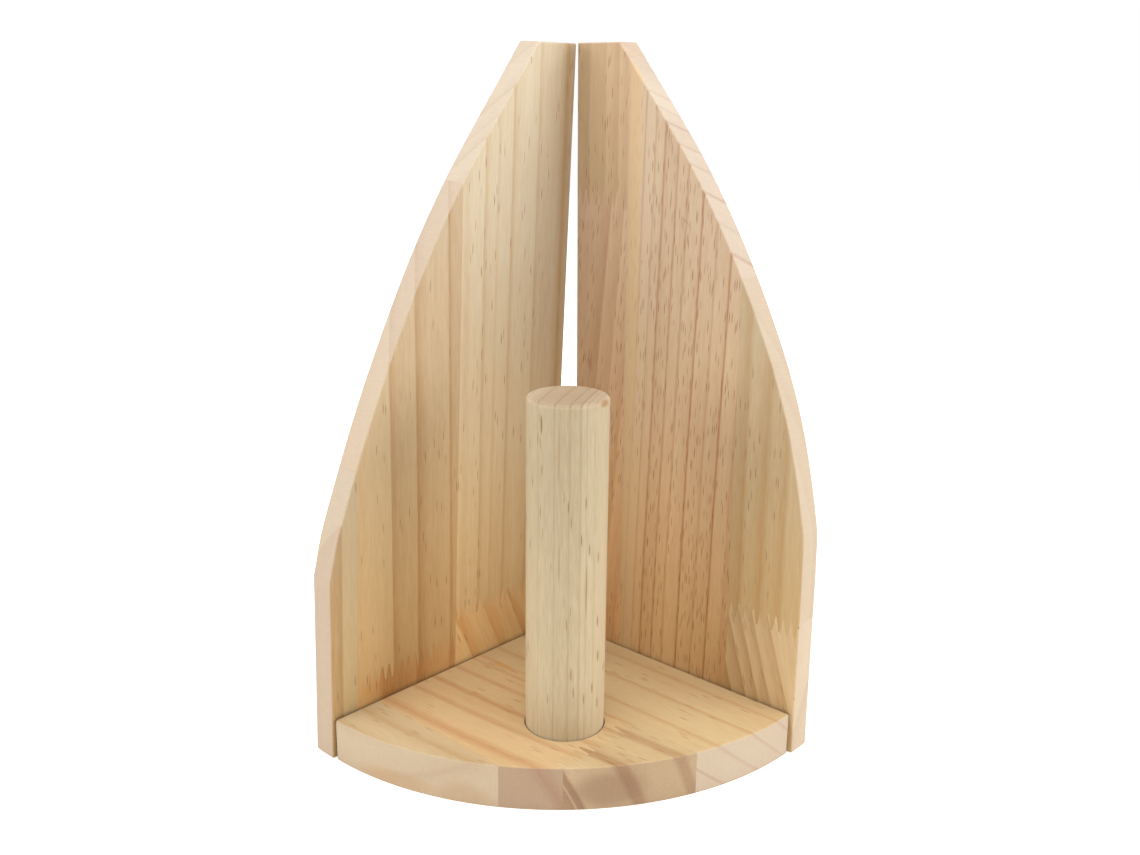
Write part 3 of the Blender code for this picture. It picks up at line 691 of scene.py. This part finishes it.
screw = {
    "radius": 2.0 * mm, "headRadius": 4.0 * mm, "headHeight": 2.4 * mm, "rim": 0.4 * mm,
    "length": 35 * mm, "tip": 5 * mm, "sink": 0.4 * mm, "clearance": 0.3 * mm,
    "recessArm": 1.9 * mm, "recessWidth": 0.9 * mm, "recessDepth": 1.5 * mm,
    "pitch": 1.8 * mm, "threadDepth": 0.45 * mm, "threadShare": 0.6,
    "core": 0.78,              # of the radius, below the thread
    "places": (("back", 30 * mm), ("front", 95 * mm)),   # along each panel
    "holeAbove": 3 * mm,       # how far a hole's cutter stands out of the board
}


def screwProfile(spare, above):
    # head up, top of the head at zero; spare widens it into the hole that it sits in
    shank = screw["radius"] * (1 if spare else screw["core"]) + spare
    head = screw["headRadius"] + spare
    return [
        (0, above), (head, above), (head, -screw["rim"]), (shank, -screw["headHeight"] - spare),
        (shank, screw["tip"] - screw["length"]), (0, -screw["length"] - spare),
    ]


def buildScrewTree():
    tree = newTree("wood screw", {
        "Blank": "Object", "Steel": "Material", "Place": "Vector", "Turn": "Vector", "Pitch": "Float",
        "Thread Radius": "Float", "Thread Depth": "Float", "Thread Length": "Float",
        "Thread Start": "Vector",
        "Recess Arm": "Float", "Recess Width": "Float", "Recess Depth": "Float",
    })
    given = addNode(tree, "NodeGroupInput").outputs
    math2 = "ShaderNodeMath"
    blank = addNode(tree, "GeometryNodeObjectInfo", {"Object": given["Blank"]}).outputs["Geometry"]
    arm = addNode(tree, math2, {0: given["Recess Arm"], 1: 2}, operation="MULTIPLY").outputs[0]
    deep = addNode(tree, math2, {0: given["Recess Depth"], 1: 2}, operation="MULTIPLY").outputs[0]
    slotSize = addNode(tree, "ShaderNodeCombineXYZ", {
        0: arm, 1: given["Recess Width"], 2: deep}).outputs[0]
    crossSize = addNode(tree, "ShaderNodeCombineXYZ", {
        0: given["Recess Width"], 1: arm, 2: deep}).outputs[0]
    slotCut = addNode(tree, "GeometryNodeMeshCube", {"Size": slotSize}).outputs[0]
    crossCut = addNode(tree, "GeometryNodeMeshCube", {"Size": crossSize}).outputs[0]
    head = addNode(tree, "GeometryNodeMeshBoolean", {0: blank, 1: [slotCut, crossCut]},
                   operation="DIFFERENCE", solver="EXACT").outputs[0]
    rounds = addNode(tree, math2, {0: given["Thread Length"], 1: given["Pitch"]},
                     operation="DIVIDE").outputs[0]
    helix = addNode(tree, "GeometryNodeCurveSpiral", {
        "Resolution": 16, "Rotations": rounds, "Start Radius": given["Thread Radius"],
        "End Radius": given["Thread Radius"], "Height": given["Thread Length"]}).outputs[0]
    ridge = addNode(tree, "GeometryNodeCurvePrimitiveCircle", {
        "Resolution": 4, "Radius": given["Thread Depth"]}, mode="RADIUS").outputs[0]
    thread = addNode(tree, "GeometryNodeCurveToMesh", {
        "Curve": helix, "Profile Curve": ridge, "Fill Caps": True}).outputs[0]
    thread = addNode(tree, "GeometryNodeTransform", {
        "Geometry": thread, "Translation": given["Thread Start"]}).outputs[0]
    both = addNode(tree, "GeometryNodeJoinGeometry", {0: [head, thread]}).outputs[0]
    driven = addNode(tree, "GeometryNodeTransform", {
        "Geometry": both, "Translation": given["Place"], "Rotation": given["Turn"]}).outputs[0]
    whole = addNode(tree, "GeometryNodeRealizeInstances", {"Geometry": driven}).outputs[0]
    steel = addNode(tree, "GeometryNodeSetMaterial", {"Geometry": whole, "Material": given["Steel"]})
    addNode(tree, "NodeGroupOutput", {0: steel.outputs[0]})
    return tree


def screwMaterial():
    # steel, zinc plated and yellow passivated: a soft metal shine with faint cloudy colour
    material = bpy.data.materials.new("yellow zinc plated steel")
    material.use_nodes = True
    tree = material.node_tree
    tree.nodes.clear()
    at = addNode(tree, "ShaderNodeTexCoord").outputs["Object"]
    cloud = addNode(tree, "ShaderNodeTexNoise", {
        "Vector": at, "Scale": 1 / (2 * mm), "Detail": 4}).outputs[0]
    colour = addNode(tree, "ShaderNodeMix", {
        0: cloud, 6: linear("#D9C27A"), 7: linear("#B9A98C")}, data_type="RGBA").outputs[2]
    rough = addNode(tree, "ShaderNodeMapRange", {
        "Value": cloud, "To Min": 0.25, "To Max": 0.45}).outputs[0]
    grit = addNode(tree, "ShaderNodeTexNoise", {
        "Vector": at, "Scale": 1 / (0.3 * mm), "Detail": 2}).outputs[0]
    bump = addNode(tree, "ShaderNodeBump", {"Height": grit, "Strength": 0.2, "Distance": 0.02 * mm})
    shader = addNode(tree, "ShaderNodeBsdfPrincipled", {
        "Base Color": colour, "Metallic": 1.0, "Roughness": rough, "Normal": bump.outputs[0]})
    addNode(tree, "ShaderNodeOutputMaterial", {0: shader.outputs[0]})
    return material


def drivenScrews():
    # where each screw goes: its CAD node, the top of its head, and its turn
    made = []
    for side, panel in panels.items():
        foot, turn = panelFrame(panel)
        upright = Euler(turn).to_matrix()
        headAt = panel["outward"] * (base["gap"] + panelThickness - screw["sink"])
        tilt = upright @ Euler((-panel["outward"] * quarterTurn, 0, 0)).to_matrix()
        for where, along in screw["places"]:
            place = foot + upright @ Vector((along, headAt, -baseTop / 2))
            made.append((f"{side}_screw_{where}", place, tilt.to_euler()))
    made.append(("peg_screw", pegAxis + Vector((0, 0, screw["sink"])), Euler((2 * quarterTurn, 0, 0))))
    return made


print("boards")
board = sawnBoard("base_blank", baseOutline(), baseTop, base["sanding"], base["curveSteps"])
baseTurnFlat = (0, 0, baseTurn[2])
placed(board, corner + Vector((0, 0, baseTop / 2)), baseTurnFlat)
blanks = {"base": frozen(board, "base_blank_done")}
for side, panel in panels.items():
    foot, turn = panelFrame(panel)
    board = sawnBoard(side + "_blank", panelOutline(panel), panelThickness, base["sanding"],
                      panelCurveSteps)
    upright = Euler(turn).to_matrix()
    middle = panel["outward"] * (base["gap"] + panelThickness / 2)
    lift = Vector((0, middle, -baseTop))
    placed(board, foot + upright @ lift, (upright @ Euler((quarterTurn, 0, 0)).to_matrix()).to_euler())
    blanks[side] = frozen(board, side + "_blank_done")

print("holes")
screws = drivenScrews()
for node, place, turn in screws:
    hole = turned(node + "_hole", screwProfile(screw["clearance"], screw["holeAbove"]), screwSteps)
    hole = frozen(placed(hole, place, turn), node + "_hole_done")
    booleaned(blanks["base"], hole, "DIFFERENCE")
    side = node.split("_")[0]
    if side in panels:
        booleaned(blanks[side], hole, "DIFFERENCE")
socketRadius = pegRadius + base["socketClearance"]
socket = turned("socket", [(0, 2 * baseTop), (socketRadius, 2 * baseTop),
                           (socketRadius, base["socketFloor"]), (0, base["socketFloor"])], peg["steps"])
socket = frozen(placed(socket, pegAxis, (0, 0, 0)), "socket_done")
booleaned(blanks["base"], socket, "DIFFERENCE")
blanks = {name: frozen(blank, name + "_board_cut") for name, blank in blanks.items()}

print("staves")
staveTree = buildStaveTree()
for node, stave in base["staves"].items():
    # each base stave gets the painted shade bands along the panels added to its own flaws
    wood = pine("oiled pine, " + node.replace("_", " "), corner + Vector((0, 0, baseTop)), baseTurn,
                {"crown": "#FFFFFF", "foot": "#FFFFFF", **stave,
                 "flawsAndShade": base["panelShade"] + stave.get("flawsAndShade", ())})
    cutStave(staveTree, node, stave, blanks["base"], corner + Vector((0, 0, baseTop / 2)), baseTurnFlat,
             (0, base["fingersEnd"]), wood)
for side, panel in panels.items():
    foot, turn = panelFrame(panel)
    upright = Euler(turn).to_matrix()
    flatTurn = (upright @ Euler((quarterTurn, 0, 0)).to_matrix()).to_euler()
    middle = panel["outward"] * (base["gap"] + panelThickness / 2)
    for node, stave in panel["staves"].items():
        wood = pine("oiled pine, " + node.replace("_", " "), foot, turn, stave)
        cutStave(staveTree, node, stave, blanks[side], foot + upright @ Vector((0, middle, -baseTop)),
                 flatTurn, (panel["back"], panel["front"]), wood)

print("screws")
screwTree = buildScrewTree()
steel = screwMaterial()
for node, place, turn in screws:
    blank = frozen(turned(node + "_blank", screwProfile(0, 0), screwSteps), node + "_blank_done")
    piece = grown(node + "_zinc", screwTree, {
        "Blank": blank, "Steel": steel, "Place": place, "Turn": turn, "Pitch": screw["pitch"],
        "Thread Radius": screw["radius"] * screw["core"], "Thread Depth": screw["threadDepth"],
        "Thread Length": screw["length"] * screw["threadShare"],
        "Thread Start": (0, 0, screw["tip"] - screw["length"]),
        "Recess Arm": screw["recessArm"], "Recess Width": screw["recessWidth"],
        "Recess Depth": screw["recessDepth"],
    })
    finished(piece, node, steel, 35)

print("peg")


def pegProfile():
    straight = pegRadius - peg["topRound"]
    profile = [(0, pegHigh.z)]
    for step in range(peg["roundSteps"] + 1):
        angle = quarterTurn * (1 - step / peg["roundSteps"])
        across = straight + peg["topRound"] * math.cos(angle)
        profile.append((across, pegHigh.z + peg["topRound"] * (math.sin(angle) - 1)))
    bottom = pegLow.z
    profile += [(pegRadius, bottom + peg["footRound"]), (pegRadius - peg["footRound"], bottom)]
    profile += [(peg["pilot"], bottom), (peg["pilot"], bottom + peg["pilotDepth"] - peg["pilot"])]
    return profile + [(0, bottom + peg["pilotDepth"])]


pegTurn = (0, 0, math.radians(-18.5))    # the year rings run from front to back and a little right
pegTop = pegHigh.z / mm
pegLook = {
    "slant": 0, "lean": 0.004, "waver": 1.2, "depth": 0.4, "sawnDepth": 1.25, "streaks": 0.25,
    "clouds": 0.15, "fibres": 0.45, "ducts": 0.3, "early": "#CDBD9E", "late": "#8C7145",
    # crown and foot: painted shade, the top of the peg dimmer than its foot
    "ends": "#8E7468", "pale": 0.32, "crown": "#F1F1F1", "foot": "#FFFFFF", "footFrom": 160,
    "footTo": 30, "sawnAxis": (0, 0, 1), "sawnFrom": 0.3, "sawnTo": 0.8,
    "rings": ((-18, 0), (-14.6, .1), (-14.2, .5), (-13.8, .1), (-9, .35), (-8, .42), (-7.6, .8),
              (-7.2, .4), (-2, .45), (-.6, .5), (-.1, .95), (.3, .45), (4, .45), (5.6, .5), (6.1, .9),
              (6.6, .45), (9.5, .45), (10.4, .85), (10.8, .3), (12, .3), (12.5, .6), (12.9, .3),
              (14.6, .3), (15, .5), (15.4, .3), (18, .1)),
    "flawsAndShade": (    # a dark patch on the rim, then long dark pores down the side
        ((16.6, -4.2, pegTop - 1.2), (1.6, 5.5, 1.8), 0, 0.6, "#8E5C2E"),
        ((-6.4, -16.3, pegTop - 9), (0.6, 3, 5.5), 0, 0.8, "#7C5A34"),
        ((-6.1, -16.4, pegTop - 28), (0.5, 3, 3), 0, 0.6, "#8C6A42"),
        ((1.4, -17.4, pegTop - 20), (0.5, 3, 18), 0, 0.5, "#9A7A50"),
        ((1.8, -17.4, pegTop - 67), (0.5, 3, 14), 0, 0.5, "#9A7A50"),
        ((12.3, -12.4, pegTop - 80), (0.4, 3, 16), 0, 0.6, "#8A5E34"),
        ((7.0, -16.0, pegTop - 118), (0.5, 3, 4), 0, 0.6, "#8A5E34"),
    ),
}
piece = turned("peg_blank", pegProfile(), peg["steps"])
piece = frozen(placed(piece, pegAxis, (0, 0, 0)), "peg_dowel")
finished(piece, "peg", pine("turned pine dowel", pegAxis, pegTurn, pegLook), 30)

for obj in list(workshop.objects):
    bpy.data.objects.remove(obj)
bpy.data.collections.remove(workshop)

print("studio")
studio = {
    "floor": 6.0, "floorDrop": 0.05 * mm, "world": 0.37, "tableGlow": 0.6,
    "lights": (    # place, size, watts
        ((-1.8, -0.6, 0.5), 1.1, 18),
        ((1.8, -0.6, 0.5), 1.1, 23),
        ((0.0, -0.4, 2.0), 1.6, 44),
    ),
}
mesh = bpy.data.meshes.new("floor")
half = studio["floor"] / 2
low = -studio["floorDrop"]     # just clear of the wood that stands on it
mesh.from_pydata([(-half, -half, low), (half, -half, low), (half, half, low), (-half, half, low)], [],
                 [(0, 1, 2, 3)])
floor = bpy.data.objects.new("floor", mesh)
bpy.context.scene.collection.objects.link(floor)
paper = bpy.data.materials.new("white backdrop paper")
paper.use_nodes = True
paperShader = paper.node_tree.nodes["Principled BSDF"]
paperShader.inputs["Base Color"].default_value = linear("#FAFAFA")
paperShader.inputs["Roughness"].default_value = 0.9
paperShader.inputs["Emission Color"].default_value = (1, 1, 1, 1)
seen = addNode(paper.node_tree, "ShaderNodeLightPath").outputs["Is Camera Ray"]
glow = addNode(paper.node_tree, "ShaderNodeMath", {0: seen, 1: studio["tableGlow"]}, operation="MULTIPLY")
paper.node_tree.links.new(glow.outputs[0], paperShader.inputs["Emission Strength"])
mesh.materials.append(paper)
floor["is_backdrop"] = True

world = bpy.data.worlds.new("white studio")
world.use_nodes = True
seen = addNode(world.node_tree, "ShaderNodeLightPath").outputs["Is Camera Ray"]
glow = addNode(world.node_tree, "ShaderNodeMapRange", {
    "Value": seen, "To Min": studio["world"], "To Max": 1.0}).outputs[0]
world.node_tree.nodes["Background"].inputs["Color"].default_value = (1, 1, 1, 1)
world.node_tree.links.new(glow, world.node_tree.nodes["Background"].inputs["Strength"])
bpy.context.scene.world = world
bpy.context.scene.view_settings.view_transform = "Standard"

aim = Vector((0, 0, cadHigh.z / 2))
for index, (place, size, watts) in enumerate(studio["lights"]):
    data = bpy.data.lights.new(f"softbox {index + 1}", "AREA")
    data.size = size
    data.energy = watts
    lamp = bpy.data.objects.new(data.name, data)
    lamp.location = place
    lamp.rotation_euler = (aim - Vector(place)).to_track_quat("-Z", "Y").to_euler()
    bpy.context.scene.collection.objects.link(lamp)

shot = {
    "place": (-0.02165, -0.5100, 0.2913), "yaw": math.radians(2.7243), "pitch": math.radians(15.987),
    "roll": math.radians(0.6623), "lens": 37.69, "sensor": 36,
}
cameraData = bpy.data.cameras.new("camera")
cameraData.lens = shot["lens"]
cameraData.sensor_width = shot["sensor"]
camera = bpy.data.objects.new("camera", cameraData)
looking = Vector((math.sin(shot["yaw"]) * math.cos(shot["pitch"]),
                  math.cos(shot["yaw"]) * math.cos(shot["pitch"]), -math.sin(shot["pitch"])))
rightFlat = Vector((math.cos(shot["yaw"]), -math.sin(shot["yaw"]), 0))
upFlat = rightFlat.cross(looking)
right = rightFlat * math.cos(shot["roll"]) + upFlat * math.sin(shot["roll"])
up = upFlat * math.cos(shot["roll"]) - rightFlat * math.sin(shot["roll"])
facing = Matrix((right, up, -looking)).transposed().to_4x4()
camera.matrix_world = Matrix.Translation(shot["place"]) @ facing
bpy.context.scene.collection.objects.link(camera)
bpy.context.scene.camera = camera

low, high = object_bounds()
